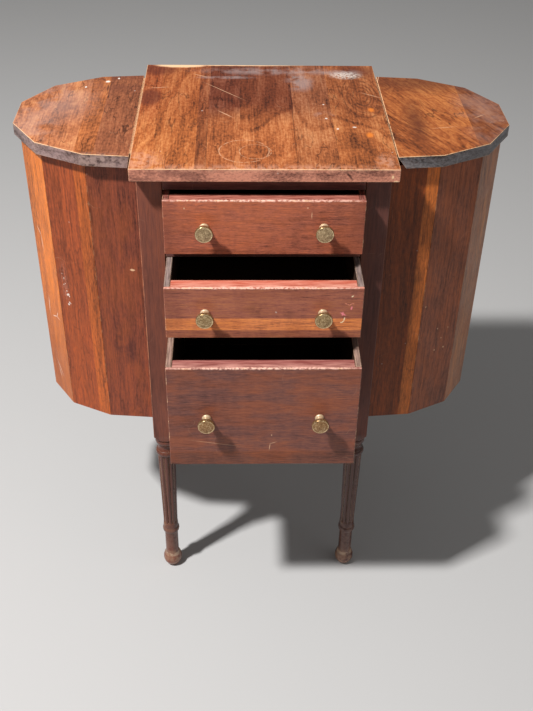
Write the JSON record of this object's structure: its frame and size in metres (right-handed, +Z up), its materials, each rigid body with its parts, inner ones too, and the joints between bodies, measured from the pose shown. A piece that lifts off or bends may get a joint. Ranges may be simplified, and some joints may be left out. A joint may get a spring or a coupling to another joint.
{
  "type": "sewing cabinet",
  "caption": "Sewing cabinet with a rectangular centre case of drawers, faceted side wings under hinged lids, and turned, reeded legs.",
  "frame": {"origin": "on the floor, under the middle of the cabinet's box with the drawers pulled out as they stand", "axes": "+Z up, -Y towards the drawer fronts, +X to the right seen from the front"},
  "size_m": [0.6586, 0.4476, 0.75],
  "materials": {
    "top_wood": "worn varnished walnut-coloured top boards",
    "case_wood": "satin reddish-brown stained wood",
    "leg_wood": "dark reddish-brown stained turned wood",
    "drawer_wood": "bare wood gone grey-brown",
    "brass": "aged brass"
  },
  "bodies": {
    "cabinet": {"leg_front_left": "leg_wood", "leg_front_right": "leg_wood", "leg_back_left": "leg_wood", "leg_back_right": "leg_wood", "centre_top": "top_wood", "left_side_panel": "case_wood", "right_side_panel": "case_wood", "back_panel": "case_wood", "top_rail": "case_wood", "upper_drawer_rail": "case_wood", "lower_drawer_rail": "case_wood", "bottom_rail": "case_wood", "upper_dust_board": "drawer_wood", "lower_dust_board": "drawer_wood", "bottom_board": "drawer_wood", "left_wing_floor": "case_wood", "right_wing_floor": "case_wood", "left_stave_1": "case_wood", "left_stave_2": "case_wood", "left_stave_3": "case_wood", "left_stave_4": "case_wood", "left_stave_5": "case_wood", "left_stave_6": "case_wood", "left_stave_7": "case_wood", "right_stave_1": "case_wood", "right_stave_2": "case_wood", "right_stave_3": "case_wood", "right_stave_4": "case_wood", "right_stave_5": "case_wood", "right_stave_6": "case_wood", "right_stave_7": "case_wood", "left_hinge_top_leaf": "brass", "left_hinge_pin": "brass", "right_hinge_top_leaf": "brass", "right_hinge_pin": "brass"},
    "left_lid": {"left_lid": "top_wood", "left_hinge_lid_leaf": "brass"},
    "right_lid": {"right_lid": "top_wood", "right_hinge_lid_leaf": "brass"},
    "top_drawer": {"top_drawer_front": "case_wood", "top_drawer_left_side": "drawer_wood", "top_drawer_right_side": "drawer_wood", "top_drawer_back": "drawer_wood", "top_drawer_bottom": "drawer_wood", "top_drawer_left_knob": "brass", "top_drawer_right_knob": "brass"},
    "middle_drawer": {"middle_drawer_front": "case_wood", "middle_drawer_left_side": "drawer_wood", "middle_drawer_right_side": "drawer_wood", "middle_drawer_back": "drawer_wood", "middle_drawer_bottom": "drawer_wood", "middle_drawer_left_knob": "brass", "middle_drawer_right_knob": "brass"},
    "bottom_drawer": {"bottom_drawer_front": "case_wood", "bottom_drawer_left_side": "drawer_wood", "bottom_drawer_right_side": "drawer_wood", "bottom_drawer_back": "drawer_wood", "bottom_drawer_bottom": "drawer_wood", "bottom_drawer_left_knob": "brass", "bottom_drawer_right_knob": "brass"}
  },
  "joints": [
    {"name": "left_lid_hinge", "type": "hinge", "parent": "cabinet", "child": "left_lid", "pos_m": [-0.1674, 0.05835, 0.7464], "axis": [0, 1, 0], "range_deg": [0, 92]},
    {"name": "right_lid_hinge", "type": "hinge", "parent": "cabinet", "child": "right_lid", "pos_m": [0.1674, 0.05835, 0.7464], "axis": [0, -1, 0], "range_deg": [0, 92]},
    {"name": "top_drawer_slide", "type": "slide", "parent": "cabinet", "child": "top_drawer", "axis": [0, -1, 0], "range_m": [-0.0249, 0.1751]},
    {"name": "middle_drawer_slide", "type": "slide", "parent": "cabinet", "child": "middle_drawer", "axis": [0, -1, 0], "range_m": [-0.0719, 0.1281]},
    {"name": "bottom_drawer_slide", "type": "slide", "parent": "cabinet", "child": "bottom_drawer", "axis": [0, -1, 0], "range_m": [-0.1108, 0.0892]}
  ]
}
